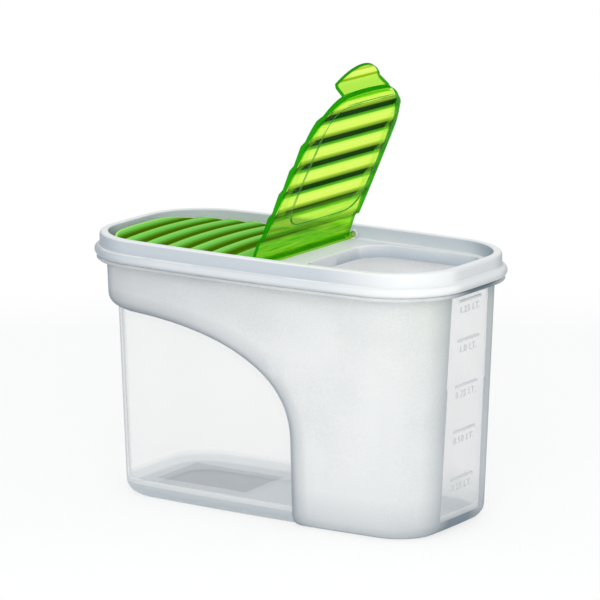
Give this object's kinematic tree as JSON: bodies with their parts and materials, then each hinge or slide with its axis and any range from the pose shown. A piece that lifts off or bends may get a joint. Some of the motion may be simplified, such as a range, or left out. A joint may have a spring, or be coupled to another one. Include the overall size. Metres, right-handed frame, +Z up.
{
  "type": "cereal container with flip spout",
  "caption": "Drafted plastic dry-food tub with a grip recess, a press-on lid frame, a fixed ribbed panel and a hinged ribbed pouring flap with a thumb tab.",
  "frame": {"origin": "centre of the tub's base", "axes": "+X along the container towards the pouring end, +Y across it, +Z up"},
  "size_m": [0.1922, 0.0984, 0.2048],
  "materials": {
    "tub_plastic": "frosted translucent polypropylene",
    "lid_plastic": "satin white polypropylene",
    "green_plastic": "polished transparent green"
  },
  "bodies": {
    "tub": {"tub": "tub_plastic"},
    "lid": {"lid_frame": "lid_plastic", "ribbed_panel": "green_plastic"},
    "flap": {"flip_flap": "green_plastic"}
  },
  "joints": [
    {"name": "lid_lift", "type": "slide", "parent": "tub", "child": "lid", "axis": [0, 0, 1], "range_m": [0, 0.04]},
    {"name": "flap_hinge", "type": "hinge", "parent": "lid", "child": "flap", "pos_m": [0.0023, 0, 0.1175], "axis": [0, -1, 0], "range_deg": [-64.4, 40]}
  ]
}
